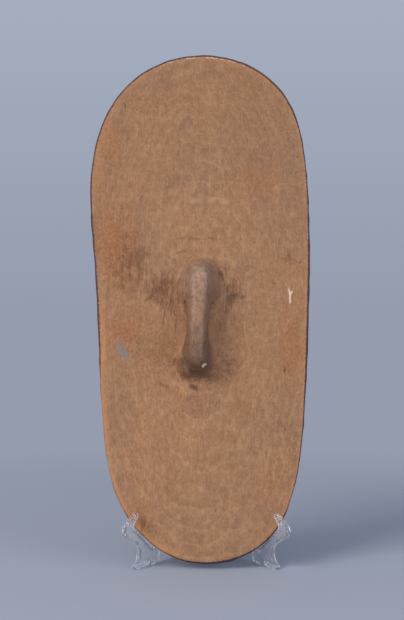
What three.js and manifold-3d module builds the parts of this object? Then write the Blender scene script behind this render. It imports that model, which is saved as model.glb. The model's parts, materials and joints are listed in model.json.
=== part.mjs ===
// Dance shield of carved wood, standing in a clear plastic easel.
// The board and its grip are one piece of wood: a long board with round ends, crowned in front
// and hollowed behind, with a finger hole cut through under the bar of the grip.
// The easel is two flat legs that cross and slot into each other behind the shield.
// Millimetres, +Z up. The grip side faces -Y, and the shield leans back towards +Y.
import * as THREE from "three";
import { mergeVertices } from "three/addons/utils/BufferGeometryUtils.js";
import Module from "manifold-3d";

// Outline of the board, measured from the middle of its length
const HALF_LENGTH = 313.5;
const HALF_WIDTH = 128.1; // at mid length
const WIDENING = 0.0573; // half width gained for each millimetre towards the top
const TOP_SQUARENESS = 4; // exponents of the two super-ellipse ends
const FOOT_SQUARENESS = 5.5;
const MIDLINE = 1.6; // the outline's middle line, right of the grip's line
const SHOULDER_SWAY = { shift: -5.1, height: 161, reach: 102 };
const FOOT_SWAY = { shift: 4.2, height: -300, reach: 55 };

// Section of the board
const RIM_THICKNESS = 9;
const RIM_ROUND = 2.4;
const HOLLOW = 11; // depth of the hollow behind
const CROWN = 18; // rise of the front
const OUTLINE_STEPS = 96;

// Grip, in the board's own plane
const GRIP_X = -4.5;
const GRIP_Z = -23;
const GRIP_TILT = THREE.MathUtils.degToRad(2.2); // its top leans to the right
const GRIP_HALF_LENGTH = 74;
const GRIP_HEIGHT = 46; // above the hollow, at the top of its arch
const GRIP_ARCH = { top: -12, drop: 0.5 }; // where the bar is highest, and how much it falls away
const GRIP_TOP_SLOPE = 30; // length of the rounded upper end
const GRIP_FOOT_SLOPE = 20; // length of the steep lower end
const BAR_HALF_WIDTH = 14.5;
const GRIP_FLARE = { more: 10.5, waist: -14, reach: 42, power: 2, sink: 4 }; // two low, wide feet
const SIDE_ROUNDING = 4; // exponents of the ridge's section across and along
const END_ROUNDING = 2.2;
const GRIP_ROOT = 10; // how far the grip's solid is sunk into the board, from the rim's mid plane
const GRIP_FOOT_CURVE = [[6, 0], [3, 1.1], [1, 3.4], [0.2, 7]]; // spread and height at the base
const GRIP_LEVELS = [12, 18, 24, 30, 35, 39, 42, 44.2, 45.6]; // heights of the rings above it

// Finger hole through the grip
const HOLE_Z = -10; // from the grip's middle
const HOLE_HALF_LENGTH = 26;
const HOLE_HEIGHT = 27;
const HOLE_HALF_DEPTH = 27; // the cut ends just beside the grip
const HOLE_FLARE = 0.04; // how much its two mouths widen
const HOLE_BITE = 0.5; // cut into the hollow's surface

// How the shield stands
const LEAN = THREE.MathUtils.degToRad(13);
const SHIELD_HEIGHT = 312; // its middle, above the floor

// Easel legs, drawn in each leg's own plane: u runs back from the front foot, z is up
const LEG_YAW = THREE.MathUtils.degToRad(30);
const STAND_X = 4.7; // the stand's middle, right of the board's
const LEG_X = 77.4; // front foot, each side of the stand's middle
const LEG_Y = -65.4;
const LEG_THICKNESS = 5.4;
const WEB_THICKNESS = 2.4;
const LEG_RIM = 3.2;
const CURVE_STEPS = 3;
const CUT_PAST = 1; // how far a pocket's cut starts outside the face
const CROSSING_U = LEG_X / Math.sin(LEG_YAW); // where the two legs meet
const CROSSING_Z = 16.5; // half-way up the arms
const SLOT_GAP = 0.35;
const SLOT_REACH = 80;

const wasm = await Module();
wasm.setup();

// A closed geometry as a solid that can be joined and cut.
function toSolid(geometry) {
  const bare = new THREE.BufferGeometry();
  bare.setAttribute("position", geometry.getAttribute("position"));
  bare.setIndex(geometry.index);
  const merged = mergeVertices(bare, 1e-4);
  return new wasm.Manifold(
    new wasm.Mesh({
      numProp: 3,
      vertProperties: merged.getAttribute("position").array,
      triVerts: new Uint32Array(merged.index.array),
    }),
  );
}

// A solid as a geometry with flat faces.
function toGeometry(solid) {
  const mesh = solid.getMesh();
  const geometry = new THREE.BufferGeometry();
  geometry.setAttribute("position", new THREE.BufferAttribute(mesh.vertProperties, mesh.numProp));
  geometry.setIndex(new THREE.BufferAttribute(mesh.triVerts, 1));
  const flat = geometry.toNonIndexed();
  flat.computeVertexNormals();
  return flat;
}

// Skin over a row of rings, closed at both ends by a fan. Each ring runs anticlockwise
// as seen from in front of the first one.
function loft(rings) {
  const count = rings[0].length;
  const positions = rings.flat().flatMap((p) => [p.x, p.y, p.z]);
  const faces = [];
  const at = (ring, i) => ring * count + (i % count);
  for (let ring = 0; ring + 1 < rings.length; ring++) {
    for (let i = 0; i < count; i++) {
      faces.push(at(ring, i), at(ring + 1, i), at(ring + 1, i + 1));
      faces.push(at(ring, i), at(ring + 1, i + 1), at(ring, i + 1));
    }
  }
  const last = rings.length - 1;
  for (const [ring, turn] of [[0, 0], [last, 1]]) {
    const middle = new THREE.Vector3();
    rings[ring].forEach((p) => middle.addScaledVector(p, 1 / count));
    const hub = positions.length / 3;
    positions.push(middle.x, middle.y, middle.z);
    for (let i = 0; i < count; i++) {
      faces.push(hub, at(ring, i + turn), at(ring, i + 1 - turn));
    }
  }
  const geometry = new THREE.BufferGeometry();
  geometry.setAttribute("position", new THREE.Float32BufferAttribute(positions, 3));
  geometry.setIndex(faces);
  return geometry;
}

const bump = ({ shift, height, reach }, z) => shift * Math.exp(-(((z - height) / reach) ** 2));

// The board's outline as seen from the grip side, anticlockwise from the right flank.
class BoardOutline extends THREE.Curve {
  getPoint(t, target = new THREE.Vector3()) {
    const angle = 2 * Math.PI * t;
    const rise = Math.sin(angle);
    const squareness = rise > 0 ? TOP_SQUARENESS : FOOT_SQUARENESS;
    const z = HALF_LENGTH * Math.sign(rise) * Math.abs(rise) ** (2 / squareness);
    const middle = MIDLINE + bump(SHOULDER_SWAY, z) + bump(FOOT_SWAY, z);
    return target.set(middle + (HALF_WIDTH + WIDENING * z) * Math.cos(angle), 0, z);
  }
}
const outline = new BoardOutline();
outline.arcLengthDivisions = 4000;
const rim = outline.getSpacedPoints(OUTLINE_STEPS).slice(0, OUTLINE_STEPS);

// Depth of the two faces at a share of the way from the middle of the board to its rim.
const hollowAt = (share) => -RIM_THICKNESS / 2 + HOLLOW * (1 - share ** 2);
const crownAt = (share) => RIM_THICKNESS / 2 + CROWN * (1 - share ** 2);

// Share of the way to the rim at a point of the board's plane.
function shareAt(x, z) {
  const angle = Math.atan2(z, x);
  const turns = rim.map((p) => Math.atan2(p.z, p.x));
  const nearest = turns.reduce(
    (best, turn, i) => (Math.abs(turn - angle) < Math.abs(turns[best] - angle) ? i : best),
    0,
  );
  return Math.hypot(x, z) / rim[nearest].length();
}

// The board: rings from the middle of the hollow out to the rim, over it, and in to the crown.
function boardSolid() {
  const ringAt = (share, inset, y) =>
    rim.map((p) => {
      const k = share * (1 - inset / p.length());
      return new THREE.Vector3(p.x * k, y, p.z * k);
    });
  const hollowShares = [0.12, 0.3, 0.46, 0.6, 0.73, 0.84, 0.93];
  const crownShares = [0.93, 0.82, 0.68, 0.5, 0.3, 0.12];
  const rimTurns = [0, 1, 2, 3, 4, 5].map((i) => (i / 5) * Math.PI);
  const halfRim = RIM_THICKNESS / 2;
  const rings = [
    ...hollowShares.map((share) => ringAt(share, 0, hollowAt(share))),
    ...rimTurns.map((turn) => ringAt(1, RIM_ROUND * (1 - Math.sin(turn)), -halfRim * Math.cos(turn))),
    ...crownShares.map((share) => ringAt(share, 0, crownAt(share))),
  ];
  return toSolid(loft(rings));
}

// A point of the grip's own frame, across and along the bar, in the board's plane.
function gripPoint(across, along, y) {
  const x = GRIP_X + across * Math.cos(GRIP_TILT) + along * Math.sin(GRIP_TILT);
  const z = GRIP_Z + along * Math.cos(GRIP_TILT) - across * Math.sin(GRIP_TILT);
  return new THREE.Vector3(x, y, z);
}

const hollowUnder = (across, along) => {
  const p = gripPoint(across, along, 0);
  return hollowAt(shareAt(p.x, p.z));
};

// Half the grip's width at a place along it. The feet spread at the base, where it is fullest.
function gripHalfWidth(along, fullness) {
  const { more, waist, reach, power, sink } = GRIP_FLARE;
  const away = Math.min(1, Math.abs(along - waist) / reach);
  return BAR_HALF_WIDTH + more * away ** power * fullness ** sink;
}

// One closed line round the grip, across and along the bar. The fullness is 1 at the base and
// falls to nothing at the crest; the spread moves the line outwards.
function gripContour(fullness, spread) {
  const sideSteps = 11;
  const endSteps = 9;
  const top = { end: 1, shoulder: GRIP_HALF_LENGTH - GRIP_TOP_SLOPE, slope: GRIP_TOP_SLOPE };
  const foot = { end: -1, shoulder: GRIP_FOOT_SLOPE - GRIP_HALF_LENGTH, slope: GRIP_FOOT_SLOPE };
  const narrowing = fullness ** (1 / SIDE_ROUNDING);
  const shortening = fullness ** (1 / END_ROUNDING);
  const line = [];
  for (const [from, { end, shoulder, slope }] of [[foot, top], [top, foot]]) {
    for (let step = 0; step < sideSteps; step++) {
      const along = THREE.MathUtils.lerp(from.shoulder, shoulder, step / sideSteps);
      line.push([end * (gripHalfWidth(along, fullness) + spread) * narrowing, along]);
    }
    const shoulderWidth = gripHalfWidth(shoulder, fullness) + spread;
    for (let step = 0; step < endSteps; step++) {
      const turn = (step / endSteps) * Math.PI;
      const side = Math.sign(Math.cos(turn)) * Math.abs(Math.cos(turn)) ** (2 / SIDE_ROUNDING);
      const past = Math.sin(turn) ** (2 / END_ROUNDING);
      const along = shoulder + end * (slope + spread) * shortening * past;
      line.push([end * side * shoulderWidth * narrowing, along]);
    }
  }
  return line;
}

// The grip before its finger hole is cut: an arched ridge with domed ends and a curved base.
function gripRidge() {
  const ringAt = (fullness, spread, depth) =>
    gripContour(fullness, spread).map(([across, along]) => gripPoint(across, along, depth(across, along)));
  const [[widest]] = GRIP_FOOT_CURVE;
  const fullnessAt = (height) => 1 - (height / GRIP_HEIGHT) ** 2;
  const arch = (along) => 1 - GRIP_ARCH.drop * ((along - GRIP_ARCH.top) / GRIP_HALF_LENGTH) ** 2;
  const above = (height) => (across, along) => hollowUnder(across, along) - height * arch(along);
  const rings = [
    ringAt(1, widest, () => GRIP_ROOT),
    ...GRIP_FOOT_CURVE.map(([spread, height]) => ringAt(fullnessAt(height), spread, above(height))),
    ...GRIP_LEVELS.map((height) => ringAt(fullnessAt(height), 0, above(height))),
  ];
  return toSolid(loft(rings.reverse()));
}

// The finger hole: an oval cut from side to side that widens at its two mouths.
function fingerHole() {
  const rows = 10;
  const sides = 28;
  const rings = [];
  for (let row = 0; row <= rows; row++) {
    const across = HOLE_HALF_DEPTH * ((2 * row) / rows - 1);
    const wider = 1 + HOLE_FLARE * Math.abs(across / BAR_HALF_WIDTH) ** 2;
    const floor = hollowUnder(across, HOLE_Z) + HOLE_BITE;
    const ring = [];
    for (let side = 0; side < sides; side++) {
      const turn = (-2 * Math.PI * side) / sides;
      const along = HOLE_Z + wider * HOLE_HALF_LENGTH * Math.cos(turn);
      ring.push(gripPoint(across, along, floor - (wider * HOLE_HEIGHT * (1 + Math.sin(turn))) / 2));
    }
    rings.push(ring);
  }
  return toSolid(loft(rings));
}

function shieldGeometry() {
  return toGeometry(boardSolid().add(gripRidge()).subtract(fingerHole()));
}

// Side view of one easel leg: foot, arm back to the crossing, post, seat, lip and cabriole front.
function legShape() {
  const shape = new THREE.Shape();
  const through = (...pairs) => shape.splineThru(pairs.map(([u, z]) => new THREE.Vector2(u, z)));
  shape.moveTo(-7, 0);
  shape.lineTo(12, 0);
  through([15.6, 2], [18.5, 5.6], [21.6, 2], [25, 0]); // notch behind the front foot
  shape.lineTo(35.5, 0);
  through([40.6, 2.2], [42.5, 7], [44.2, 13], [51, 16.4], [62, 13], [73, 5.4], [82, 3]);
  shape.lineTo(158, 3);
  through([163, 1.6], [168, 0]); // rear foot
  shape.lineTo(190, 0);
  shape.absarc(190, 6, 6, -Math.PI / 2, 0);
  shape.lineTo(196, 22);
  shape.absarc(189, 22, 7, 0, Math.PI / 2);
  shape.lineTo(145, 30);
  through([108, 33.5], [81, 45], [66.5, 74], [63, 110], [64.2, 149.2]); // arm and back of the post
  shape.absarc(59, 150, 5.2, 0, Math.PI);
  shape.lineTo(34.4, 22.4);
  shape.quadraticCurveTo(32.6, 13.8, 26.6, 18.2);
  shape.lineTo(-9, 44.8); // sloping seat
  shape.quadraticCurveTo(-16, 49.7, -11.4, 53.6);
  shape.lineTo(-4.6, 59.4);
  shape.absarc(-7.2, 61.6, 3.4, -0.22 * Math.PI, 0.66 * Math.PI);
  through([-15, 61.4], [-23, 57.2], [-29.8, 51.4], [-32, 46], [-29.6, 41.4], [-23, 37.6]);
  through([-8.6, 30.2], [-0.6, 23], [0.9, 17], [-2, 10.8], [-7.4, 7.2], [-10, 4.6], [-10, 1.6], [-7, 0]);
  return shape;
}

// The outline moved in by the width of the rim, without the points that come too near another side.
function insetPoints(points, distance) {
  const count = points.length;
  const leastShare = 0.985; // of the distance, so that the straight stretches stay
  const edge = new THREE.Line3();
  const nearest = new THREE.Vector3();
  const clearOfEdges = (p) =>
    points.every((a, i) => {
      const b = points[(i + 1) % count];
      edge.start.set(a.x, a.y, 0);
      edge.end.set(b.x, b.y, 0);
      edge.closestPointToPoint(new THREE.Vector3(p.x, p.y, 0), true, nearest);
      return Math.hypot(nearest.x - p.x, nearest.y - p.y) > leastShare * distance;
    });
  const moved = points.map((p, i) => {
    const before = points[(i + count - 1) % count];
    const after = points[(i + 1) % count];
    const along = after.clone().sub(before).normalize();
    return new THREE.Vector2(p.x - along.y * distance, p.y + along.x * distance);
  });
  return moved.filter(clearOfEdges);
}

// A plate of the given outline, upright on the leg's plane, with its middle on that plane.
function upright(shape, thickness, middle = 0) {
  const plate = new THREE.ExtrudeGeometry(shape, { depth: thickness, bevelEnabled: false });
  return plate.rotateX(Math.PI / 2).translate(0, middle + thickness / 2, 0);
}

// A leg with a thin web inside a thick rim, and half of the crossing's slot.
function legGeometry(side) {
  const points = legShape().getPoints(CURVE_STEPS);
  points.pop();
  const shape = new THREE.Shape(points);
  const pocket = new THREE.Shape(insetPoints(points, LEG_RIM));
  const pocketDepth = (LEG_THICKNESS - WEB_THICKNESS) / 2;
  let leg = toSolid(upright(shape, LEG_THICKNESS));
  for (const face of [-1, 1]) {
    const middle = (face * (LEG_THICKNESS + CUT_PAST - pocketDepth)) / 2;
    leg = leg.subtract(toSolid(upright(pocket, pocketDepth + CUT_PAST, middle)));
  }
  const slotHeight = CROSSING_Z * 2;
  const slot = new THREE.BoxGeometry(SLOT_REACH, LEG_THICKNESS + 2 * SLOT_GAP, slotHeight);
  slot.rotateZ(-side * 2 * LEG_YAW);
  slot.translate(CROSSING_U, 0, CROSSING_Z - side * (slotHeight / 2 - SLOT_GAP / 2));
  return toGeometry(leg.subtract(toSolid(slot)));
}

const wood = () => new THREE.MeshStandardMaterial({ color: 0xa0764f, roughness: 0.75, metalness: 0 });
const clearPlastic = () =>
  new THREE.MeshStandardMaterial({
    color: 0xe6edf2,
    roughness: 0.08,
    metalness: 0,
    transparent: true,
    opacity: 0.35,
  });

const danceShield = new THREE.Group();

const shield = new THREE.Mesh(shieldGeometry(), wood());
shield.name = "shield";
shield.position.z = SHIELD_HEIGHT;
shield.rotation.x = -LEAN;
danceShield.add(shield);

for (const [name, side] of [["stand_leg_left", -1], ["stand_leg_right", 1]]) {
  const leg = new THREE.Mesh(legGeometry(side), clearPlastic());
  leg.name = name;
  leg.position.set(STAND_X + side * LEG_X, LEG_Y, 0);
  leg.rotation.z = Math.PI / 2 + side * LEG_YAW;
  danceShield.add(leg);
}

// The origin is on the floor, under the middle of the whole.
const whole = new THREE.Box3().setFromObject(danceShield, true);
const underMiddle = whole.getCenter(new THREE.Vector3()).setZ(whole.min.z);
danceShield.children.forEach((piece) => piece.position.sub(underMiddle));

export default danceShield;
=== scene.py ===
import json
import math

import bmesh
import bpy
import numpy as np
from mathutils import Matrix, Vector

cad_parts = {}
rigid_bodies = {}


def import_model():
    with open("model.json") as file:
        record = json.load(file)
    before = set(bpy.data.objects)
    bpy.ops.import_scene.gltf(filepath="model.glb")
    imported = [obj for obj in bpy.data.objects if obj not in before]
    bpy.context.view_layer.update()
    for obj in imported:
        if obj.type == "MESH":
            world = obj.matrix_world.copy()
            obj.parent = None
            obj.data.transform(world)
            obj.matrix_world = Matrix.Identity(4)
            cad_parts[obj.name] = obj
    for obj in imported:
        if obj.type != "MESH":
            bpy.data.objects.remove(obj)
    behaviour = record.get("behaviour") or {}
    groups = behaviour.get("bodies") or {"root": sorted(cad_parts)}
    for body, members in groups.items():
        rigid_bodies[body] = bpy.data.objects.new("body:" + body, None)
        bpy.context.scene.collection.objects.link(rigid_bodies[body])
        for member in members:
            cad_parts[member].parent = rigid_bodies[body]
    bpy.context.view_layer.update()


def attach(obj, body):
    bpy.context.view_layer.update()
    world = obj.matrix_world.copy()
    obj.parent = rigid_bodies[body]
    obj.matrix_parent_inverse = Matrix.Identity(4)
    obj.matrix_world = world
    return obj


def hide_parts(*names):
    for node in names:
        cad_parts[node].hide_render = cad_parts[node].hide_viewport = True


for left_over in list(bpy.data.objects):
    bpy.data.objects.remove(left_over)
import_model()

# The shield
# One board of light, close-grained wood: hollowed on the grip side, crowned in front, and worked
# with adze and knife. The grip stands in the same wood, with a finger hole cut through under it.

MM = 0.001

# Outline of the board in millimetres, measured from the middle of its length.
HALF_LENGTH = 313.5
HALF_WIDTH = 128.1
WIDENING = 0.0573
TOP_SQUARENESS = 4
FOOT_SQUARENESS = 5.5
MIDLINE = 1.6
SWAYS = [(-5.1, 161, 102), (4.2, -300, 55)]  # shift, height and reach
HALF_RIM = 4.5
RIM_ROUND = 2.4
HOLLOW = 11
CROWN = 18

# How the shield stands, and where its middle is in the frame.
LEAN = math.radians(13)
SHIELD_MIDDLE = Vector((2.704, -5.614, 312.0))

AROUND = 448  # points in each ring of the skin


def board_outline(count):
    """The board's edge, evenly spaced and anticlockwise from the right flank."""
    angle = np.linspace(0, 2 * np.pi, 6001)
    rise = np.sin(angle)
    squareness = np.where(rise > 0, TOP_SQUARENESS, FOOT_SQUARENESS)
    z = HALF_LENGTH * np.sign(rise) * np.abs(rise) ** (2 / squareness)
    sway = sum(shift * np.exp(-(((z - height) / reach) ** 2)) for shift, height, reach in SWAYS)
    middle = MIDLINE + sway
    x = middle + (HALF_WIDTH + WIDENING * z) * np.cos(angle)
    travelled = np.concatenate([[0], np.cumsum(np.hypot(np.diff(x), np.diff(z)))])
    stops = np.linspace(0, travelled[-1], count, endpoint=False)
    return np.column_stack([np.interp(stops, travelled, x), np.interp(stops, travelled, z)])


edge = board_outline(2000)
edge_turn = np.unwrap(np.arctan2(edge[:, 1], edge[:, 0]))
edge_reach = np.hypot(edge[:, 0], edge[:, 1])


def edge_distance(x, z):
    """How far a point of the board's plane is inside the edge, and the share of the way out to it."""
    turn = np.mod(np.arctan2(z, x) - edge_turn[0], 2 * np.pi) + edge_turn[0]
    once_round = np.append(edge_turn, edge_turn[0] + 2 * np.pi)
    reach = np.interp(turn, once_round, np.append(edge_reach, edge_reach[0]))
    out = np.hypot(x, z)
    return reach - out, out / reach


def hollow_at(x, z):
    return -HALF_RIM + HOLLOW * (1 - edge_distance(x, z)[1] ** 2)


# The grip, across and along its bar.
GRIP_MIDDLE = (-4.5, -23)
GRIP_TILT = math.radians(2.2)
GRIP_HALF_LENGTH = 74
GRIP_HEIGHT = 46  # at the top of its arch
ARCH_TOP = -12
ARCH_DROP = 0.5
TOP_SLOPE = 30
FOOT_SLOPE = 20
BAR_HALF_WIDTH = 14.5
FOOT_FLARE = 10.5
BAR_WAIST = -14
FLARE_REACH = 42
FLARE_POWER = 2
FLARE_SINK = 4
SIDE_ROUNDING = 4
END_ROUNDING = 2.2
BASE_SPREAD = 6
BASE_HEIGHT = 10
SIDE_POINTS = 116
TOP_POINTS = 116
FOOT_POINTS = AROUND - 2 * SIDE_POINTS - TOP_POINTS


def grip_to_board(across, along):
    x = GRIP_MIDDLE[0] + across * math.cos(GRIP_TILT) + along * math.sin(GRIP_TILT)
    z = GRIP_MIDDLE[1] + along * math.cos(GRIP_TILT) - across * math.sin(GRIP_TILT)
    return x, z


def grip_half_width(along, fullness):
    """The bar's half width: it widens into two feet, most of all at the base."""
    away = np.minimum(1, np.abs(along - BAR_WAIST) / FLARE_REACH)
    return BAR_HALF_WIDTH + FOOT_FLARE * away**FLARE_POWER * fullness**FLARE_SINK


def grip_ring(height, spread):
    """One line round the grip at a height above the hollow, in the board's own frame."""
    fullness = max(0.0, 1 - (height / GRIP_HEIGHT) ** 2)
    narrowing = fullness ** (1 / SIDE_ROUNDING)
    shortening = fullness ** (1 / END_ROUNDING)
    top = (1, GRIP_HALF_LENGTH - TOP_SLOPE, TOP_SLOPE, TOP_POINTS)
    foot = (-1, FOOT_SLOPE - GRIP_HALF_LENGTH, FOOT_SLOPE, FOOT_POINTS)
    across, along = [], []
    for start, (end, shoulder, slope, count) in ((foot, top), (top, foot)):
        side = np.linspace(start[1], shoulder, SIDE_POINTS, endpoint=False)
        across.append(end * (grip_half_width(side, fullness) + spread) * narrowing)
        along.append(side)
        turn = np.linspace(0, np.pi, count, endpoint=False)
        round_over = np.sign(np.cos(turn)) * np.abs(np.cos(turn)) ** (2 / SIDE_ROUNDING)
        past = np.sin(turn) ** (2 / END_ROUNDING)
        across.append(end * round_over * (grip_half_width(shoulder, fullness) + spread) * narrowing)
        along.append(shoulder + end * (slope + spread) * shortening * past)
    along = np.concatenate(along)
    arch = 1 - ARCH_DROP * ((along - ARCH_TOP) / GRIP_HALF_LENGTH) ** 2
    x, z = grip_to_board(np.concatenate(across), along)
    ring = np.column_stack([x, hollow_at(x, z) - height * arch, z])
    return np.roll(ring, -SIDE_POINTS // 2, axis=0)


rim = board_outline(AROUND)
rim_reach = np.hypot(rim[:, 0], rim[:, 1])


def board_ring(share, inset, y):
    scale = share * (1 - inset / rim_reach)
    return np.column_stack([rim[:, 0] * scale, np.full(AROUND, y), rim[:, 1] * scale])


# The skin: from the crest of the grip down its sides, over the hollow, round the rim, over the front.
rings = [grip_ring(GRIP_HEIGHT * math.sin(turn), 0)
         for turn in np.linspace(math.pi / 2, math.asin(BASE_HEIGHT / GRIP_HEIGHT), 27)]
for step in np.linspace(0, 1, 10)[1:]:
    height = BASE_HEIGHT * (1 - step) ** 2
    rings.append(grip_ring(height, BASE_SPREAD * (1 - height / BASE_HEIGHT) ** 4.5))
base = rings[-1]
hollow_end = board_ring(1, RIM_ROUND, -HALF_RIM)
for step in np.linspace(0, 1, 105)[1:-1] ** 1.12:
    ring = base + (hollow_end - base) * step
    ring[:, 1] = hollow_at(ring[:, 0], ring[:, 2])
    rings.append(ring)
for turn in np.linspace(0, math.pi, 9):
    rings.append(board_ring(1, RIM_ROUND * (1 - math.sin(turn)), -HALF_RIM * math.cos(turn)))
for share in np.linspace(1, 0.03, 28)[1:]:
    rings.append(board_ring(share, RIM_ROUND, HALF_RIM + CROWN * (1 - share**2)))
skin = np.array(rings)


def lattice_noise(x, y, z, size, seed):
    """Smooth noise from -1 to 1 with cells of the given size, the same in every run."""
    table = np.random.default_rng(seed).uniform(-1, 1, (32, 32, 32))
    at = np.stack([np.asarray(x) / size[0], np.asarray(y) / size[1], np.asarray(z) / size[2]])
    cell = np.floor(at).astype(int)
    part = at - cell
    part = part * part * (3 - 2 * part)
    total = 0
    for corner in np.ndindex(2, 2, 2):
        weight = np.prod([part[i] if corner[i] else 1 - part[i] for i in range(3)], axis=0)
        total = total + weight * table[tuple((cell[i] + corner[i]) % 32 for i in range(3))]
    return total


def adze_cuts(x, z, cell, seed):
    """Shallow overlapping scoops, one to each cell: 0 at the bottom of a scoop, about 1 at a ridge."""
    jitter = np.random.default_rng(seed).uniform(0.1, 0.9, (32, 32, 2))
    column, row = np.floor(x / cell[0]).astype(int), np.floor(z / cell[1]).astype(int)
    nearest = np.full(x.shape, 9.0)
    for i in (-1, 0, 1):
        for j in (-1, 0, 1):
            spot = jitter[(column + i) % 32, (row + j) % 32]
            away_x = (column + i + spot[..., 0]) - x / cell[0]
            away_z = (row + j + spot[..., 1]) - z / cell[1]
            nearest = np.minimum(nearest, away_x**2 + away_z**2)
    return nearest


def smooth(low, high, value):
    part = np.clip((value - low) / (high - low), 0, 1)
    return part * part * (3 - 2 * part)


def stroke(x, z, points, width):
    """1 on a line through the points, falling to 0 at the given width."""
    nearest = np.full(x.shape, 1e9)
    for (x0, z0), (x1, z1) in zip(points, points[1:]):
        run = (x1 - x0) ** 2 + (z1 - z0) ** 2
        part = np.clip(((x - x0) * (x1 - x0) + (z - z0) * (z1 - z0)) / run, 0, 1)
        nearest = np.minimum(nearest, np.hypot(x - x0 - part * (x1 - x0), z - z0 - part * (z1 - z0)))
    return smooth(width, width * 0.25, nearest)


def patch(x, z, middle, reach, tilt=0.0):
    """1 in the middle of a soft oval, 0 at its edge."""
    dx, dz = x - middle[0], z - middle[1]
    across = (dx * math.cos(tilt) + dz * math.sin(tilt)) / reach[0]
    along = (dz * math.cos(tilt) - dx * math.sin(tilt)) / reach[1]
    return smooth(1, 0, np.hypot(across, along))


# Cuts, cracks and nicks that the wood carries: points, then width and strength.
CUTS = [
    ([(-29, 76.5), (-8, 75.4), (14, 76.2), (40, 75.4)], 1.3, 0.5),  # drying crack above the grip
    ([(104, 52), (112, 46), (121, 43)], 1.6, 0.8),
    ([(88, -151), (95, -155), (102, -161)], 1.7, 0.7),
    ([(97.4, -85), (98.6, -91)], 2.3, 1.0),
    ([(-97, 249), (-95, 245)], 2.4, 0.8),
    ([(-13, -106.5), (-7, -109.5)], 4.2, 1.0),  # knot under the grip
    ([(-26, -96), (-14, -101), (-3, -98)], 1.6, 0.6),
    ([(-25, -78), (-26, -86)], 2.0, 0.8),
    ([(24, -78), (39, -74)], 1.5, 0.35),
    ([(22, -88), (37, -86)], 1.5, 0.3),
    ([(-32, 58), (-25, 61), (-18, 57)], 1.8, 0.5),
    ([(22, 35), (26, 23)], 2.4, 0.9),
    ([(29, 13), (31, -2), (28, -18)], 1.8, 0.7),
    ([(33, 1), (42, 4), (50, 2)], 4.6, 0.7),
    ([(-28, 25), (-30, 8), (-29, -6)], 1.7, 0.7),
    ([(-32, -74), (-34, -81)], 2.6, 0.9),
    ([(17, -69), (27, -71), (36, -68)], 1.8, 0.35),
    ([(15, -82), (26, -89), (38, -91)], 2.0, 0.4),
    ([(-50, -105), (-40, -108)], 2.4, 0.6),
    ([(-68, -3), (-58, 6), (-50, 12)], 1.8, 0.6),
]

# Fine scratches round the grip: how many, between which sides and heights, how long, how far each
# strays, how wide and how strong. Those beside the grip run down the board, those below run across.
scratches = np.random.default_rng(41)
for amount, sides, heights, lengths, strays, widths, strengths, downward in [
    (34, (-66, -29), (-14, 34), (6, 24), (-2, 3), (0.9, 1.5), (0.25, 0.7), True),
    (22, (24, 44), (-20, 40), (6, 20), (-2, 3), (0.9, 1.6), (0.25, 0.6), True),
    (20, (-30, 30), (-104, -80), (4, 14), (-4, 4), (0.9, 1.6), (0.2, 0.5), False),
]:
    for _ in range(amount):
        x0, z0, run, stray = [scratches.uniform(*limits) for limits in (sides, heights, lengths, strays)]
        end = (x0 + stray, z0 - run) if downward else (x0 + run, z0 + stray)
        CUTS.append(([(x0, z0), end], scratches.uniform(*widths), scratches.uniform(*strengths)))
CUT_WAVER = 1.7  # millimetres


def cuts_at(x, z):
    """How deep the cuts are, 0 to 1. Their lines waver a little, as torn wood does."""
    sideways = CUT_WAVER * lattice_noise(x, 0 * x, z, (5, 5, 5), 31)
    upward = CUT_WAVER * lattice_noise(x, 0 * x, z, (5, 5, 5), 32)
    x, z = x + sideways, z + upward
    depth = np.zeros(x.shape)
    for points, width, strength in CUTS:
        depth = np.maximum(depth, strength * stroke(x, z, points, width))
    return depth


# Relief: slow waves, adze scoops, cuts, and nicks in the rim, along the surface's own direction.
# Depths are in millimetres.
SLOW_WAVE = 0.45
SHORT_WAVE = 0.16
SCOOP_DEPTH = 0.32
WHITTLING_DEPTH = 0.5
CUT_DEPTH = 0.7
RIM_WEAR = 0.45
NICK_DEPTH = 1.3
ring_step = np.roll(skin, -1, axis=1) - np.roll(skin, 1, axis=1)
row_step = np.gradient(skin, axis=0)
outward = np.cross(row_step, ring_step)
outward /= np.maximum(np.linalg.norm(outward, axis=2, keepdims=True), 1e-9)
if outward[60, 0, 1] > 0:
    outward = -outward
outward[0] = (0, -1, 0)
sx, sy, sz = skin[..., 0], skin[..., 1], skin[..., 2]
inside = edge_distance(sx, sz)[0]
lift = hollow_at(sx, sz) - sy
on_back = smooth(4, 1, -lift)
on_grip = smooth(4, 14, lift)
waves = SLOW_WAVE * lattice_noise(sx, sy, sz, (46, 46, 60), 3)
waves += SHORT_WAVE * lattice_noise(sx, sy, sz, (14, 14, 22), 4)
uneven_x = sx + 3 * lattice_noise(sx, sy, sz, (20, 20, 20), 5)
scoops = SCOOP_DEPTH * (adze_cuts(uneven_x, sz, (17, 29), 6) - 0.3)
whittled = WHITTLING_DEPTH * (adze_cuts(sx + sy, sz, (9, 15), 8) - 0.3)
relief = waves + scoops * (1 - on_grip) + whittled * on_grip * smooth(0, 6, GRIP_HEIGHT - lift)
relief -= CUT_DEPTH * on_back * (1 - on_grip) * cuts_at(sx, sz)
rim_wear = smooth(6, 0, inside)
relief += rim_wear * RIM_WEAR * lattice_noise(sx, sy, sz, (11, 6, 11), 9)
nicks = smooth(0.35, 0.8, lattice_noise(sx, sy, sz, (9, 9, 7), 10)) * smooth(285, 300, sz)
nicks *= smooth(4, 1, inside)
relief -= NICK_DEPTH * nicks
relief *= smooth(0, 4, np.arange(len(rings)))[:, None] * 0.6 + 0.4
skin = skin + outward * relief[..., None]

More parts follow.
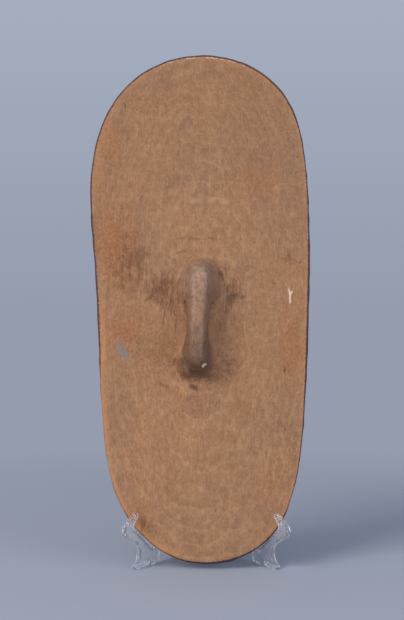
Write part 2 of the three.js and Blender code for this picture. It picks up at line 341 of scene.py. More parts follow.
faces = []
for ring in range(len(rings) - 1):
    for i in range(AROUND):
        j = (i + 1) % AROUND
        here, further = ring * AROUND, (ring + 1) * AROUND
        faces.append((here + i, further + i, further + j, here + j))
last = (len(rings) - 1) * AROUND
hub = len(rings) * AROUND
faces += [(hub, last + (i + 1) % AROUND, last + i) for i in range(AROUND)]
points = np.vstack([skin.reshape(-1, 3), skin[-1].mean(axis=0)])


def closed_mesh(name, points, faces):
    """A mesh with its doubles merged and its faces pointing outwards."""
    mesh = bpy.data.meshes.new(name)
    mesh.from_pydata(points.tolist(), [], faces)
    work = bmesh.new()
    work.from_mesh(mesh)
    bmesh.ops.remove_doubles(work, verts=work.verts, dist=0.002)
    bmesh.ops.recalc_face_normals(work, faces=work.faces)
    work.to_mesh(mesh)
    work.free()
    made = bpy.data.objects.new(name, mesh)
    bpy.context.scene.collection.objects.link(made)
    return made


shield = closed_mesh("shield_carved", points, faces)

# The finger hole: an oval cut from side to side, wider at its two mouths, with a whittled wall.
HOLE_ALONG = -10
HOLE_HALF_LENGTH = 26
HOLE_HEIGHT = 27
HOLE_HALF_DEPTH = 27
HOLE_FLARE = 0.04
HOLE_BITE = 0.5
WALL_ROUGHNESS = 0.018
hole_rows, hole_sides = 40, 96
hole_points, hole_faces = [], []
for across in np.linspace(-HOLE_HALF_DEPTH, HOLE_HALF_DEPTH, hole_rows):
    wider = 1 + HOLE_FLARE * abs(across / BAR_HALF_WIDTH) ** 2
    floor_x, floor_z = grip_to_board(across, HOLE_ALONG)
    floor_y = float(hollow_at(np.array(floor_x), np.array(floor_z))) + HOLE_BITE
    turn = np.linspace(0, 2 * np.pi, hole_sides, endpoint=False)
    depth = np.full(turn.shape, across)
    rough = 1 + WALL_ROUGHNESS * lattice_noise(8 * np.cos(turn), depth, 8 * np.sin(turn), (5, 7, 5), 12)
    along = HOLE_ALONG + wider * HOLE_HALF_LENGTH * np.cos(turn) * rough
    x, z = grip_to_board(across, along)
    y = floor_y - wider * HOLE_HEIGHT * (1 + np.sin(turn)) / 2
    hole_points.append(np.column_stack([x, y, z]))
for row in range(hole_rows - 1):
    for i in range(hole_sides):
        j = (i + 1) % hole_sides
        hole_faces.append((row * hole_sides + i, row * hole_sides + j,
                           (row + 1) * hole_sides + j, (row + 1) * hole_sides + i))
hole_faces.append(tuple(range(hole_sides)))
hole_faces.append(tuple((hole_rows - 1) * hole_sides + i for i in range(hole_sides)))
hole = closed_mesh("finger_hole", np.vstack(hole_points), hole_faces)

cut = shield.modifiers.new("finger hole", "BOOLEAN")
cut.operation = "DIFFERENCE"
cut.solver = "EXACT"
cut.object = hole
carved = bpy.data.meshes.new_from_object(shield.evaluated_get(bpy.context.evaluated_depsgraph_get()))
shield.modifiers.remove(cut)
shield.data = carved
bpy.data.objects.remove(hole)

# What the wood has taken on with use, and the light and shade painted into its colour, kept point by
# point for its finish.
count = len(carved.vertices)
flat = np.empty(count * 3)
carved.vertices.foreach_get("co", flat)
vx, vy, vz = flat.reshape(-1, 3).T
inside = edge_distance(vx, vz)[0]
lift = hollow_at(vx, vz) - vy
on_back = smooth(4, 1.5, -lift)
broken = lattice_noise(vx, vy, vz, (6, 6, 8), 21)
cloudy = lattice_noise(vx, vy, vz, (22, 22, 26), 22)
grip_x = vx - GRIP_MIDDLE[0] - (vz - GRIP_MIDDLE[1]) * math.tan(GRIP_TILT)
grip_z = vz - GRIP_MIDDLE[1]

# How far in from the edge the front's dark pigment comes, in millimetres: least along the foot.
wrap = 2.7 + 0.9 * smooth(120, 240, vz) + 0.5 * smooth(0, 60, vx)
wrap -= 3.0 * smooth(40, -60, vx) * smooth(-60, -140, vz) + 1.9 * smooth(0, 60, vx) * smooth(-150, -230, vz)


def patches(spots):
    """Soft oval patches on the board, each with its middle, reach, tilt and strength."""
    total = np.zeros(count)
    for middle, reach, tilt, strength in spots:
        total = np.maximum(total, strength * patch(vx, vz, middle, reach, tilt))
    return total


stain = patches([
    ((36, 8), (20, 44), -0.1, 0.6), ((40, 6), (17, 8), 0.1, 0.9), ((30, 36), (9, 17), -0.2, 0.7),
    ((-36, 22), (16, 36), 0.0, 0.35), ((-56, 4), (22, 13), 0.7, 0.8), ((-32, 48), (15, 10), 0.0, 0.35),
    ((-62, -66), (60, 44), 0.0, 0.62), ((4, -92), (56, 22), 0.0, 0.8), ((34, -78), (26, 12), 0.2, 0.85),
    ((-31, -82), (18, 22), 0.0, 0.8), ((-8, -108), (11, 8), 0.0, 1.0), ((-55, 254), (38, 26), 0.0, 0.5),
    ((-60, 196), (16, 66), 0.5, 0.35), ((60, -28), (40, 30), 0.0, 0.25), ((-4, -128), (62, 34), 0.0, 0.5),
    ((114, -180), (30, 120), 0.0, 0.4),
    ((104, 47), (16, 7), -0.4, 0.7), ((-64, -272), (36, 14), -0.7, 0.7),
])
ruddy = patches([
    ((-104, 66), (54, 84), 0.0, 1.0), ((-92, -42), (42, 36), 0.0, 0.9), ((62, 150), (66, 62), 0.0, 0.5),
    ((108, -60), (24, 96), 0.0, 0.85), ((-72, -262), (44, 34), 0.6, 0.7), ((76, -226), (50, 46), 0.0, 0.5),
    ((-112, 190), (30, 70), 0.0, 0.6),
])
scored = patches([
    ((-46, 14), (34, 50), 0.0, 1.0), ((36, 8), (18, 44), 0.0, 0.8), ((0, -96), (56, 20), 0.0, 0.6),
    ((-86, 40), (62, 92), 0.0, 0.85),
]) * smooth(5, 2, lift)
smudge = patches([
    ((-94, -67), (9, 21), 0.55, 1.0), ((-99, -56), (11, 8), 0.0, 0.7), ((72, 116), (20, 16), 0.0, 0.42),
])

# Pale rubbed lines and small bare chips: points, then width and, for the lines, strength.
uneven_x, uneven_z = vx + 3 * cloudy, vz + 4 * broken
gaps = smooth(-0.7, 0.3, broken)
pale = np.zeros(count)
for line, width, strength in [
    ([(-38, 106), (-31, 119), (-18, 127), (-4, 124), (16, 127), (34, 122)], 6.5, 0.6),
    ([(-30, 92), (-10, 90), (4, 92)], 3.5, 0.5),
    ([(-82, 120), (-68, 168), (-46, 206), (-24, 232)], 3, 0.4),
    ([(-69, 202), (-50, 228), (-34, 245), (-14, 262), (8, 265)], 3, 0.3),
    ([(52, 262), (76, 242), (94, 204)], 3, 0.35),
    ([(38, 222), (58, 196), (66, 182)], 3, 0.35),
    ([(-90, -140), (-74, -176), (-60, -204), (-38, -226)], 3, 0.4),
    ([(82, -168), (72, -208), (54, -244)], 3, 0.4),
    ([(44, -156), (26, -180), (8, -198)], 3, 0.35),
    ([(-28, 28), (-20, 46), (-3, 52), (15, 46)], 2.6, 0.75),
    ([(-22, -44), (-26, -56), (-28, -68), (-24, -84), (-13, -95), (2, -98), (15, -88)], 3.4, 0.7),
    ([(11, -44), (15, -56), (17, -68)], 3.4, 0.65),
    ([(-32, -103), (-20, -106), (-11, -106)], 4, 0.6),
]:
    pale = np.maximum(pale, strength * stroke(uneven_x, uneven_z, line, width) * gaps)
wavering = vx + 1.4 * broken
chip = np.zeros(count)
for line, width in [
    ([(104.5, 10), (107, 2), (105.6, -6)], 1.9),
    ([(107, 3), (109, 8)], 1.4),
    ([(2, -88), (4.5, -85)], 1.7),
]:
    chip = np.maximum(chip, stroke(wavering, vz, line, width))

# Painted light: a brighter band inside the edge, widest at the upper left, brightest at the lower left.
band_width = 12 + 12 * smooth(90, 160, vz) * smooth(270, 230, vz) * smooth(0, -60, vx)
in_band = smooth(1.1, 0.25, (inside + 2.5 * cloudy) / band_width)
lower_left = smooth(60, -40, vz) * smooth(0, -60, vx)
lower_right = smooth(120, -20, vz) * smooth(40, 90, vx)
painted_edge_light = in_band * np.clip(lower_left + 0.5 * lower_right + 0.6 * smooth(80, 150, vz), 0, 1)

# From_edge and wrap are in centimetres and stop at 1. The others run from 0 to 1.
wear_and_painted_light = {
    "from_edge": inside / 10 * on_back - 0.3 * (1 - on_back),
    "wrap": wrap / 10,
    "chipped": smooth(285, 300, vz) * smooth(74, 50, np.abs(vx)),
    "handled": smooth(3, 12, lift + 2 * cloudy),
    # The grip grows darker towards its foot.
    "darker_to_grip_foot": smooth(22, -62, grip_z + 6 * broken) * smooth(8, 22, lift),
    "foot_end": smooth(-48, -58, grip_z + 3 * cloudy) * smooth(4, 10, lift),
    # Painted sheen, lighter and greyer, on the grip's upper end, over rubbed wood.
    "rubbed_and_sheen": smooth(10, 46, grip_z + 6 * broken) * smooth(14, 27, lift),
    # Painted shade down the grip's right flank.
    "painted_flank_shade": smooth(0, 13, grip_x + 2 * broken) * smooth(6, 22, lift),
    # Painted shade: darker towards the right and the top, as the light falls off.
    "painted_falloff_shade": np.clip(0.6 * smooth(-20, 130, vx + 8 * cloudy) + 0.4 * smooth(40, 220, vz)
                      + 0.35 * smooth(-20, 60, vx) * smooth(90, 230, vz), 0, 1),
    "stain": stain,
    "ruddy": ruddy,
    "scored": scored,
    "cuts": cuts_at(vx, vz) * smooth(6, 2, lift),
    "smudge": smudge,
    "pale": pale,
    "chip": chip,
    # Painted light on the band inside the edge.
    "painted_edge_light": painted_edge_light,
}
for name, values in wear_and_painted_light.items():
    kept = carved.attributes.new(name, "FLOAT", "POINT")
    if name != "from_edge":
        values = values * on_back
    kept.data.foreach_set("value", np.clip(values, -1, 1).astype(np.float32))

stand_up = Matrix.Translation(SHIELD_MIDDLE * MM) @ Matrix.Rotation(-LEAN, 4, "X") @ Matrix.Scale(MM, 4)
carved.transform(stand_up)
carved.shade_smooth()


def hex_colour(code):
    """An sRGB hex value as linear colour."""
    parts = [int(code[i:i + 2], 16) / 255 for i in (1, 3, 5)]
    return tuple(p / 12.92 if p <= 0.04045 else ((p + 0.055) / 1.055) ** 2.4 for p in parts) + (1,)


def node(tree, kind, inputs=None, **settings):
    """Adds a node with its settings, and sets or links its inputs."""
    made = tree.nodes.new(kind)
    for name, value in settings.items():
        setattr(made, name, value)
    for socket, value in (inputs or {}).items():
        if isinstance(value, bpy.types.NodeSocket):
            tree.links.new(value, made.inputs[socket])
        else:
            made.inputs[socket].default_value = value
    return made


# Carved softwood, dry and unvarnished: growth rings show as contour lines of the hollow, fine grain
# runs down the board, and handling has darkened it. The front and rim keep a worn dark pigment.
# Light and shade are painted into the colour too: shade towards the right and the top and down the
# grip's right flank, light on the band inside the edge and a sheen on the grip's top.
carved_wood = bpy.data.materials.new("carved_wood_dry")
carved_wood.use_nodes = True
wood = carved_wood.node_tree
wood.nodes.clear()
where = node(wood, "ShaderNodeTexCoord").outputs["Object"]
place = node(wood, "ShaderNodeMapping", {
    "Vector": where, "Location": SHIELD_MIDDLE * MM, "Rotation": (-LEAN, 0, 0), "Scale": (MM, MM, MM),
}, vector_type="TEXTURE").outputs[0]  # millimetres in the board's own frame

wear_and_light_nodes = {name: node(wood, "ShaderNodeAttribute", attribute_name=name).outputs["Fac"] for name in wear_and_painted_light}

# Patterns, each as wide, deep and long as it is on the wood in millimetres.
pattern = {}
for name, size, detail in [
    ("fibre", (1.7, 1.7, 24), 4),
    ("grit", (2.2, 2.2, 2.8), 5),
    ("mottling", (26, 16, 34), 6),
    ("clouds", (85, 60, 110), 3),
    ("bands", (64, 40, 7), 4),
    ("specks", (3.2, 3.2, 4.2), 1),
    ("scoring", (1.9, 1.9, 22), 3),
    ("flecks", (6, 6, 9), 4),
    ("warp", (44, 30, 56), 4),
]:
    scaled = node(wood, "ShaderNodeVectorMath", {0: place, 1: size}, operation="DIVIDE").outputs[0]
    noise = node(wood, "ShaderNodeTexNoise", {"Vector": scaled, "Scale": 1, "Detail": detail})
    pattern[name] = noise.outputs["Fac"]

# Growth rings: lines of equal depth in the dished surface, so ovals round the grip. A strong ring
# about every 1.25 mm of depth, and fine ones every quarter of a millimetre.
oval = node(wood, "ShaderNodeVectorMath", {0: place, 1: (125, 1e6, 313)}, operation="DIVIDE").outputs[0]
dished = node(wood, "ShaderNodeVectorMath", {0: oval, 1: oval}, operation="DOT_PRODUCT").outputs["Value"]
for name, spacing, waviness in [("rings", 0.114, 0.3), ("fine rings", 0.021, 0.14)]:
    wavy = node(wood, "ShaderNodeMath", {0: pattern["warp"], 1: waviness, 2: dished},
                operation="MULTIPLY_ADD").outputs[0]
    turns = node(wood, "ShaderNodeMath", {0: wavy, 1: spacing}, operation="DIVIDE").outputs[0]
    pattern[name] = node(wood, "ShaderNodeMath", {0: turns}, operation="FRACT").outputs[0]

# Ragged edges for what has soaked in or rubbed off, for the painted light on the edge band and the
# darkening at the grip's foot, and torn marks where the wood is scored: what the pattern breaks up,
# the pattern, and how much of it is added.
ragged = {}
for name, mask_name, pattern_name, much in [
    *[(name, name, "grit", 1.1)
      for name in ("handled", "stain", "ruddy", "smudge", "pale", "painted_edge_light", "darker_to_grip_foot")],
    ("score lines", "scored", "scoring", 1.6),
    ("dark flecks", "scored", "flecks", 1.5),
    ("light flecks", "scored", "flecks", -1.5),
    ("wrap", "wrap", "grit", 0.3),
]:
    ragged[name] = node(wood, "ShaderNodeMath", {0: pattern[pattern_name], 1: much, 2: wear_and_light_nodes[mask_name]},
                        operation="MULTIPLY_ADD").outputs[0]

# The pigment's broken edge, with bare chips along the top of the rim.
past_wrap = node(wood, "ShaderNodeMath", {0: wear_and_light_nodes["from_edge"], 1: ragged["wrap"]},
                 operation="SUBTRACT").outputs[0]
chip_line = node(wood, "ShaderNodeMapRange",
                 {"Value": past_wrap, "From Min": 0.16, "From Max": -0.04}).outputs[0]
broken_line = node(wood, "ShaderNodeMath", {0: chip_line, 1: pattern["flecks"]},
                   operation="MULTIPLY").outputs[0]
edge_chips = node(wood, "ShaderNodeMath", {0: broken_line, 1: wear_and_light_nodes["chipped"]},
                  operation="MULTIPLY").outputs[0]

# Dirt in the grain of the grip.
grip_grit, grip_flecks = [
    node(wood, "ShaderNodeMath", {0: pattern[name], 1: wear_and_light_nodes["handled"]}, operation="MULTIPLY").outputs[0]
    for name in ("grit", "flecks")]

# On the front, away from the edge, the pigment has worn thin in places and along the grain.
on_front = node(wood, "ShaderNodeMapRange",
                {"Value": wear_and_light_nodes["from_edge"], "From Min": -0.24, "From Max": -0.3}).outputs[0]
worn_front, front_grain, front_marks = [
    node(wood, "ShaderNodeMath", {0: pattern[name], 1: on_front}, operation="MULTIPLY").outputs[0]
    for name in ("mottling", "fibre", "flecks")]

# Knife cuts run in rings round the grip's steep foot.
from_foot = node(wood, "ShaderNodeVectorMath", {0: place, 1: (GRIP_MIDDLE[0], -20, GRIP_MIDDLE[1] - 50)},
                 operation="DISTANCE").outputs["Value"]
cut_turns = node(wood, "ShaderNodeMath", {0: from_foot, 1: 4.2}, operation="DIVIDE").outputs[0]
cut_ring = node(wood, "ShaderNodeMath", {0: cut_turns}, operation="FRACT").outputs[0]
foot_rings = node(wood, "ShaderNodeMath", {0: cut_ring, 1: wear_and_light_nodes["foot_end"]},
                  operation="MULTIPLY").outputs[0]

# Tints laid over each other: what drives it, where it starts and is full, strength and colour.
colour = hex_colour("#936B4D")
for source, start, full, strength, code in [
    (pattern["clouds"], 0.46, 0.64, 0.3, "#A5734A"),
    (pattern["clouds"], 0.5, 0.34, 0.42, "#876A51"),
    (pattern["mottling"], 0.5, 0.68, 0.22, "#7E5840"),
    (pattern["mottling"], 0.48, 0.32, 0.2, "#AC8059"),
    (pattern["bands"], 0.52, 0.68, 0.14, "#7F5B43"),
    (pattern["bands"], 0.46, 0.34, 0.12, "#AA815C"),
    (pattern["rings"], 0.35, 1.0, 0.16, "#785440"),
    (pattern["rings"], 0.2, 0.02, 0.2, "#B9926A"),
    (pattern["fine rings"], 0.4, 1.0, 0.12, "#785440"),
    (pattern["flecks"], 0.5, 0.7, 0.42, "#785640"),
    (pattern["flecks"], 0.48, 0.3, 0.38, "#AE8662"),
    (pattern["fibre"], 0.5, 0.68, 0.2, "#74513B"),
    (pattern["fibre"], 0.48, 0.32, 0.17, "#B48860"),
    # Painted shade: darker towards the right and the top, as the light falls off.
    (wear_and_light_nodes["painted_falloff_shade"], 0.0, 1.0, 0.3, "#6E523E"),
    # Painted light on the band inside the edge.
    (ragged["painted_edge_light"], 0.7, 1.5, 0.55, "#B87E4E"),
    (ragged["ruddy"], 0.75, 1.6, 0.6, "#91562D"),
    (pattern["grit"], 0.5, 0.68, 0.2, "#694836"),
    (pattern["grit"], 0.47, 0.32, 0.18, "#B98F68"),
    (ragged["handled"], 0.65, 1.35, 0.5, "#8A6C58"),
    # Painted sheen, lighter and greyer, on the grip's upper end, over rubbed wood.
    (wear_and_light_nodes["rubbed_and_sheen"], 0.1, 1.0, 0.45, "#AE9683"),
    # Painted shade down the grip's right flank.
    (wear_and_light_nodes["painted_flank_shade"], 0.1, 1.0, 0.2, "#5F5350"),
    (grip_flecks, 0.46, 0.62, 0.5, "#6B564B"),
    (grip_grit, 0.5, 0.66, 0.3, "#57463D"),
    # The grip grows darker towards its foot.
    (ragged["darker_to_grip_foot"], 0.6, 1.6, 0.52, "#4E3828"),
    (foot_rings, 0.5, 1.0, 0.5, "#3A3028"),
    (ragged["pale"], 0.8, 1.5, 0.5, "#BC9A78"),
    (ragged["stain"], 0.75, 1.65, 0.52, "#613D26"),
    (ragged["dark flecks"], 1.3, 1.9, 0.55, "#6F4526"),
    (ragged["light flecks"], 0.05, 0.45, 0.4, "#B8834F"),
    (ragged["score lines"], 1.35, 1.9, 0.45, "#55382A"),
    (wear_and_light_nodes["cuts"], 0.1, 1.0, 0.7, "#40291E"),
    (pattern["specks"], 0.7, 0.8, 0.55, "#4A3325"),
    (ragged["smudge"], 0.8, 1.3, 0.75, "#73746E"),
    (edge_chips, 0.46, 0.58, 0.65, "#CDB69C"),
    (past_wrap, -0.13, -0.18, 0.95, "#4A3436"),
    (worn_front, 0.5, 0.66, 0.6, "#7A5540"),
    (front_grain, 0.5, 0.68, 0.5, "#6B4A3A"),
    (front_marks, 0.55, 0.72, 0.5, "#2C1E20"),
    (wear_and_light_nodes["chip"], 0.1, 0.9, 0.85, "#D8C4AC"),
]:
    amount = node(wood, "ShaderNodeMapRange", {
        "Value": source, "From Min": start, "From Max": full, "To Min": 0.0, "To Max": strength,
    }).outputs[0]
    colour = node(wood, "ShaderNodeMix", {0: amount, 6: colour, 7: hex_colour(code)},
                  data_type="RGBA").outputs[2]

rough_bare = node(wood, "ShaderNodeMapRange", {"Value": pattern["grit"], "From Min": 0.3, "From Max": 0.7,
                                               "To Min": 0.66, "To Max": 0.86}).outputs[0]
roughness = node(wood, "ShaderNodeMix", {0: wear_and_light_nodes["handled"], 2: rough_bare, 3: 0.5},
                 data_type="FLOAT").outputs[0]

# Fine relief in millimetres, raised or sunk.
height = node(wood, "ShaderNodeMath", {0: pattern["fibre"], 1: 0.22}, operation="MULTIPLY").outputs[0]
for source, millimetres in [
    (pattern["grit"], 0.35),
    (pattern["rings"], 0.05),
    (pattern["bands"], 0.3),
    (ragged["score lines"], -0.25),
    (foot_rings, -0.5),
]:
    height = node(wood, "ShaderNodeMath", {0: source, 1: millimetres, 2: height},
                  operation="MULTIPLY_ADD").outputs[0]
bump = node(wood, "ShaderNodeBump", {"Height": height, "Strength": 0.8, "Distance": MM}).outputs[0]
surface = node(wood, "ShaderNodeBsdfPrincipled", {
    "Base Color": colour, "Roughness": roughness, "Normal": bump, "IOR": 1.45, "Specular IOR Level": 0.35,
}).outputs[0]
node(wood, "ShaderNodeOutputMaterial", {"Surface": surface})

carved.materials.clear()
carved.materials.append(carved_wood)
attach(shield, "root")
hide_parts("shield")

# The easel's two legs
# Each is one flat moulding in clear polystyrene: a thin web inside a thicker, rounded rim.
# They slot into each other where they cross behind the shield, which rests on seat, lip and post.

RIM_WIDTH = 3.2
LEG_THICKNESS = 5.4
WEB_THICKNESS = 2.4
RIM_ROUNDING = 1.2
CROSSING = (154.8, 16.5)  # along the leg and up
SLOT_GAP = 0.35
LEGS = [("stand_leg_left", -1, (-69.996, -71.014, 0)), ("stand_leg_right", 1, (84.804, -71.014, 0))]
LEG_YAW = math.radians(30)
LEG_POINTS = 760  # round the outline


def spline(line, *through):
    """Goes on from the line's last point in a smooth curve through the others."""
    knots = [Vector(p) for p in (line[-1], *through)]
    for i in range(len(knots) - 1):
        before, after = knots[max(i - 1, 0)], knots[min(i + 2, len(knots) - 1)]
        start, end = knots[i], knots[i + 1]
        leave, arrive = (end - before) / 2, (after - start) / 2
        for t in np.linspace(0, 1, 13)[1:]:
            line.append(start * (2 * t**3 - 3 * t**2 + 1) + leave * (t**3 - 2 * t**2 + t)
                        + end * (3 * t**2 - 2 * t**3) + arrive * (t**3 - t**2))


def arc(line, middle, radius, start, end):
    for turn in np.linspace(start, end, 16):
        line.append(Vector((middle[0] + radius * math.cos(turn), middle[1] + radius * math.sin(turn))))


def bend(line, corner, end):
    start = Vector(line[-1])
    for t in np.linspace(0, 1, 13)[1:]:
        line.append(start * (1 - t) ** 2 + Vector(corner) * 2 * t * (1 - t) + Vector(end) * t**2)


# Side view of a leg, anticlockwise from the front foot: along the leg, then up.
leg_line = [Vector((-7, 0)), Vector((12, 0))]
spline(leg_line, (15.6, 2), (18.5, 5.6), (21.6, 2), (25, 0))
leg_line.append(Vector((35.5, 0)))
spline(leg_line, (40.6, 2.2), (42.5, 7), (44.2, 13), (51, 16.4), (62, 13), (73, 5.4), (82, 3))
leg_line.append(Vector((158, 3)))
spline(leg_line, (163, 1.6), (168, 0))
arc(leg_line, (190, 6), 6, -math.pi / 2, 0)
arc(leg_line, (189, 22), 7, 0, math.pi / 2)
leg_line.append(Vector((145, 30)))
spline(leg_line, (108, 33.5), (81, 45), (66.5, 74), (63, 110), (64.2, 149.2))
arc(leg_line, (59, 150), 5.2, 0, math.pi)
leg_line.append(Vector((34.4, 22.4)))
bend(leg_line, (32.6, 13.8), (26.6, 18.2))
leg_line.append(Vector((-9, 44.8)))
bend(leg_line, (-16, 49.7), (-11.4, 53.6))
leg_line.append(Vector((-4.6, 59.4)))
arc(leg_line, (-7.2, 61.6), 3.4, -0.22 * math.pi, 0.66 * math.pi)
spline(leg_line, (-15, 61.4), (-23, 57.2), (-29.8, 51.4), (-32, 46), (-29.6, 41.4), (-23, 37.6))
spline(leg_line, (-8.6, 30.2), (-0.6, 23), (0.9, 17), (-2, 10.8), (-7.4, 7.2), (-10, 4.6), (-10, 1.6),
       (-7, 0))

leg_edge = np.array([tuple(p) for p in leg_line])
travelled = np.concatenate([[0], np.cumsum(np.hypot(*np.diff(leg_edge, axis=0).T))])
stops = np.linspace(0, travelled[-1], LEG_POINTS, endpoint=False)
leg_edge = np.column_stack([np.interp(stops, travelled, leg_edge[:, axis]) for axis in (0, 1)])
heading = np.roll(leg_edge, -1, axis=0) - np.roll(leg_edge, 1, axis=0)
heading /= np.linalg.norm(heading, axis=1, keepdims=True)
rim_middle = leg_edge + RIM_WIDTH / 2 * np.column_stack([-heading[:, 1], heading[:, 0]])

# Clear polystyrene, moulded: almost colourless, polished and faintly scuffed on its flats, with a
# softer shine along the rounded rim.
clear_polystyrene = bpy.data.materials.new("clear_polystyrene_moulded")
clear_polystyrene.use_nodes = True
plastic = clear_polystyrene.node_tree
plastic.nodes.clear()
spot = node(plastic, "ShaderNodeTexCoord").outputs["Object"]
scuff_size = node(plastic, "ShaderNodeVectorMath", {0: spot, 1: (4 * MM, 4 * MM, 9 * MM)},
                  operation="DIVIDE").outputs[0]
scuffs = node(plastic, "ShaderNodeTexNoise", {"Vector": scuff_size, "Scale": 1, "Detail": 3}).outputs["Fac"]
polish = node(plastic, "ShaderNodeMapRange", {"Value": scuffs, "From Min": 0.4, "From Max": 0.75,
                                              "To Min": 0.03, "To Max": 0.13}).outputs[0]
on_rim = node(plastic, "ShaderNodeAttribute", attribute_name="rim").outputs["Fac"]
gloss = node(plastic, "ShaderNodeMath", {0: on_rim, 1: 0.18, 2: polish},
             operation="MULTIPLY_ADD").outputs[0]
ripple_size = node(plastic, "ShaderNodeVectorMath", {0: spot, 1: (14 * MM, 14 * MM, 20 * MM)},
                   operation="DIVIDE").outputs[0]
ripples = node(plastic, "ShaderNodeTexNoise",
               {"Vector": ripple_size, "Scale": 1, "Detail": 1}).outputs["Fac"]
flow = node(plastic, "ShaderNodeBump", {"Height": ripples, "Strength": 0.25, "Distance": MM}).outputs[0]
clear_body = node(plastic, "ShaderNodeBsdfPrincipled", {
    "Base Color": hex_colour("#FBFCFF"), "Roughness": gloss, "Normal": flow, "IOR": 1.3,
    "Transmission Weight": 0.93,
}).outputs[0]
node(plastic, "ShaderNodeOutputMaterial", {"Surface": clear_body})

# The moulding: the rim follows the leg's outline, the web fills it, and the slot is cut at the crossing.
moulding = bpy.data.node_groups.new("leg_moulding", "GeometryNodeTree")
for name, kind in [
    ("Outline", "NodeSocketGeometry"),
    ("Rim width", "NodeSocketFloat"),
    ("Thickness", "NodeSocketFloat"),
    ("Rounding", "NodeSocketFloat"),
    ("Web", "NodeSocketFloat"),
    ("Slot size", "NodeSocketVector"),
    ("Slot place", "NodeSocketVector"),
    ("Slot turn", "NodeSocketRotation"),
    ("Finish", "NodeSocketMaterial"),
]:
    moulding.interface.new_socket(name, in_out="INPUT", socket_type=kind)
moulding.interface.new_socket("Leg", in_out="OUTPUT", socket_type="NodeSocketGeometry")
given = node(moulding, "NodeGroupInput").outputs
path = node(moulding, "GeometryNodeMeshToCurve", {"Mesh": given["Outline"]}).outputs[0]
level = node(moulding, "GeometryNodeSetCurveNormal", {"Curve": path}, mode="Z_UP").outputs[0]
section = node(moulding, "GeometryNodeCurvePrimitiveQuadrilateral",
               {"Width": given["Rim width"], "Height": given["Thickness"]}).outputs[0]
rounded = node(moulding, "GeometryNodeFilletCurve",
               {"Curve": section, "Count": 4, "Radius": given["Rounding"]}, mode="POLY").outputs[0]
leg_rim = node(moulding, "GeometryNodeCurveToMesh", {"Curve": level, "Profile Curve": rounded}).outputs[0]
sheet = node(moulding, "GeometryNodeFillCurve", {"Curve": path}, mode="NGONS").outputs[0]
raised = node(moulding, "GeometryNodeExtrudeMesh", {"Mesh": sheet, "Offset Scale": given["Web"]},
              mode="FACES").outputs[0]
under = node(moulding, "GeometryNodeFlipFaces", {"Mesh": sheet}).outputs[0]
both = node(moulding, "GeometryNodeJoinGeometry")
moulding.links.new(raised, both.inputs[0])
moulding.links.new(under, both.inputs[0])
sealed = node(moulding, "GeometryNodeMergeByDistance",
              {"Geometry": both.outputs[0], "Distance": 0.001}).outputs[0]
half_web = node(moulding, "ShaderNodeMath", {0: given["Web"], 1: -0.5}, operation="MULTIPLY").outputs[0]
down = node(moulding, "ShaderNodeCombineXYZ", {"Z": half_web}).outputs[0]
web = node(moulding, "GeometryNodeTransform", {"Geometry": sealed, "Translation": down}).outputs[0]
joined = node(moulding, "GeometryNodeMeshBoolean", {"Self Intersection": True},
              operation="UNION", solver="EXACT")
moulding.links.new(leg_rim, joined.inputs["Mesh 2"])
moulding.links.new(web, joined.inputs["Mesh 2"])
block = node(moulding, "GeometryNodeMeshCube", {"Size": given["Slot size"]}).outputs[0]
slot = node(moulding, "GeometryNodeTransform", {
    "Geometry": block, "Translation": given["Slot place"], "Rotation": given["Slot turn"],
}).outputs[0]
slotted = node(moulding, "GeometryNodeMeshBoolean", {"Mesh 1": joined.outputs[0], "Mesh 2": slot},
               operation="DIFFERENCE", solver="EXACT").outputs[0]
real = node(moulding, "GeometryNodeRealizeInstances", {"Geometry": slotted}).outputs[0]
finished = node(moulding, "GeometryNodeSetMaterial",
                {"Geometry": real, "Material": given["Finish"]}).outputs[0]
node(moulding, "NodeGroupOutput", {"Leg": finished})

for node_name, side, foot_at in LEGS:
    outline = bpy.data.meshes.new(node_name + "_outline")
    lines = [(i, (i + 1) % LEG_POINTS) for i in range(LEG_POINTS)]
    outline.from_pydata([(along, up, 0) for along, up in rim_middle], lines, [])
    leg = bpy.data.objects.new(node_name + "_clear", outline)
    bpy.context.scene.collection.objects.link(leg)
    made_by = leg.modifiers.new("moulding", "NODES")
    made_by.node_group = moulding
    slot_height = 2 * CROSSING[1]
    sizes = {
        "Rim width": RIM_WIDTH,
        "Thickness": LEG_THICKNESS,
        "Rounding": RIM_ROUNDING,
        "Web": WEB_THICKNESS,
        "Slot size": (80, slot_height, LEG_THICKNESS + 2 * SLOT_GAP),
        "Slot place": (CROSSING[0], CROSSING[1] - side * (slot_height - SLOT_GAP) / 2, 0),
        "Slot turn": (0, -side * 2 * LEG_YAW, 0),
        "Finish": clear_polystyrene,
    }
    for item in moulding.interface.items_tree:
        if item.name in sizes:
            made_by[item.identifier] = sizes[item.name]
    solid = bpy.data.meshes.new_from_object(leg.evaluated_get(bpy.context.evaluated_depsgraph_get()))
    leg.modifiers.remove(made_by)
    leg.data = solid
    rim_points = solid.attributes.new("rim", "FLOAT", "POINT")
    for point, mark in zip(solid.vertices, rim_points.data):
        mark.value = float(abs(point.co.z) > WEB_THICKNESS / 2 + 0.05)
    stand = Matrix.Translation(Vector(foot_at) * MM) @ Matrix.Rotation(math.pi / 2 + side * LEG_YAW, 4, "Z")
    solid.transform(stand @ Matrix.Rotation(math.pi / 2, 4, "X") @ Matrix.Scale(MM, 4))
    solid.shade_smooth()
    solid.set_sharp_from_angle(angle=math.radians(40))
    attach(leg, "root")
    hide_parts(node_name)

# The floor and the light
# A pale blue-grey studio surface that runs out into an even background of the same colour,
# lit by a broad soft light from the upper left and weaker ones from the right and the front.

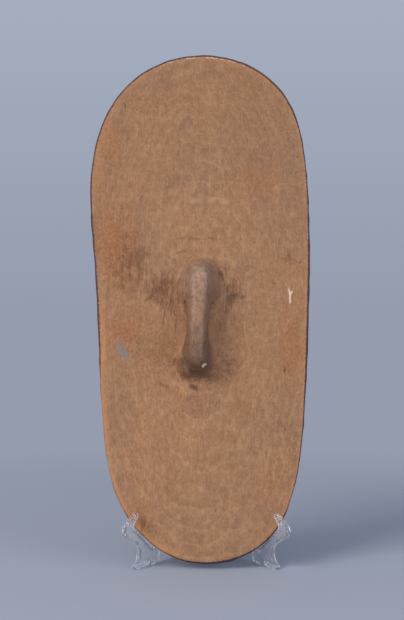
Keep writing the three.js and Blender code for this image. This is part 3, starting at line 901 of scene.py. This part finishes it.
floor_mesh = bpy.data.meshes.new("floor")
floor_mesh.from_pydata([(-3, -3, 0), (3, -3, 0), (3, 3, 0), (-3, 3, 0)], [], [(0, 1, 2, 3)])
floor = bpy.data.objects.new("floor", floor_mesh)
bpy.context.scene.collection.objects.link(floor)
studio_paper = bpy.data.materials.new("studio_paper")
studio_paper.use_nodes = True
paper = studio_paper.node_tree
paper.nodes.clear()
from_middle = node(paper, "ShaderNodeTexCoord").outputs["Object"]
away = node(paper, "ShaderNodeVectorMath", {0: from_middle}, operation="LENGTH").outputs["Value"]
fading = node(paper, "ShaderNodeMapRange", {"Value": away, "From Min": 0.35, "From Max": 1.3},
              interpolation_type="SMOOTHSTEP").outputs[0]
matt = node(paper, "ShaderNodeBsdfPrincipled", {"Base Color": hex_colour("#A1A6B3"), "Roughness": 0.9})
clear = node(paper, "ShaderNodeBsdfTransparent")
mixed = node(paper, "ShaderNodeMixShader", {0: fading, 1: matt.outputs[0], 2: clear.outputs[0]}).outputs[0]
node(paper, "ShaderNodeOutputMaterial", {"Surface": mixed})
floor_mesh.materials.append(studio_paper)

world = bpy.data.worlds.new("studio")
bpy.context.scene.world = world
world.use_nodes = True
sky = world.node_tree
sky.nodes.clear()
looking = node(sky, "ShaderNodeTexCoord").outputs["Generated"]
upward = node(sky, "ShaderNodeSeparateXYZ", {"Vector": looking}).outputs["Z"]
higher = node(sky, "ShaderNodeMapRange", {"Value": upward, "From Min": 0.0, "From Max": 0.25}).outputs[0]
shade = node(sky, "ShaderNodeMix", {0: higher, 6: hex_colour("#949CAD"), 7: hex_colour("#A6AFC0")},
             data_type="RGBA")
even = node(sky, "ShaderNodeBackground", {"Color": shade.outputs[2], "Strength": 1.0}).outputs[0]
node(sky, "ShaderNodeOutputWorld", {"Surface": even})

for name, at, size, watts, warmth in [
    ("soft_light_left", (-2.2, -2.3, 2.2), 1.8, 98, "#FFF8EE"),
    ("soft_light_right", (2.1, -2.2, 0.9), 1.6, 24, "#F4F6FF"),
    ("soft_light_front", (0.2, -2.9, 0.35), 1.6, 22, "#FFFFFF"),
]:
    lamp = bpy.data.lights.new(name, "AREA")
    lamp.size = size
    lamp.energy = watts
    lamp.color = hex_colour(warmth)[:3]
    held = bpy.data.objects.new(name, lamp)
    held.location = at
    held.rotation_euler = (Vector((0, 0, 0.3)) - Vector(at)).to_track_quat("-Z", "Y").to_euler()
    bpy.context.scene.collection.objects.link(held)

# The camera
# Level with the middle of the shield, 1.5 m in front of it, as the photograph was taken.

EYE_DISTANCE = 1500
EYE_DROP = 15  # below the middle, along the board
FOCAL_LENGTH = 1250  # in pixels, on a frame of the height below
FRAME_HEIGHT = 620

board_up = Vector((0, math.sin(LEAN), math.cos(LEAN)))
eye = SHIELD_MIDDLE - EYE_DROP * board_up - Vector((0, EYE_DISTANCE, 0))
lens = bpy.data.cameras.new("camera")
lens.sensor_fit = "VERTICAL"
lens.sensor_height = 36
lens.lens = lens.sensor_height * FOCAL_LENGTH / FRAME_HEIGHT
camera = bpy.data.objects.new("camera", lens)
camera.location = eye * MM
camera.rotation_euler = (math.pi / 2, 0, 0)
bpy.context.scene.collection.objects.link(camera)
bpy.context.scene.camera = camera
bpy.context.scene.view_settings.view_transform = "Standard"
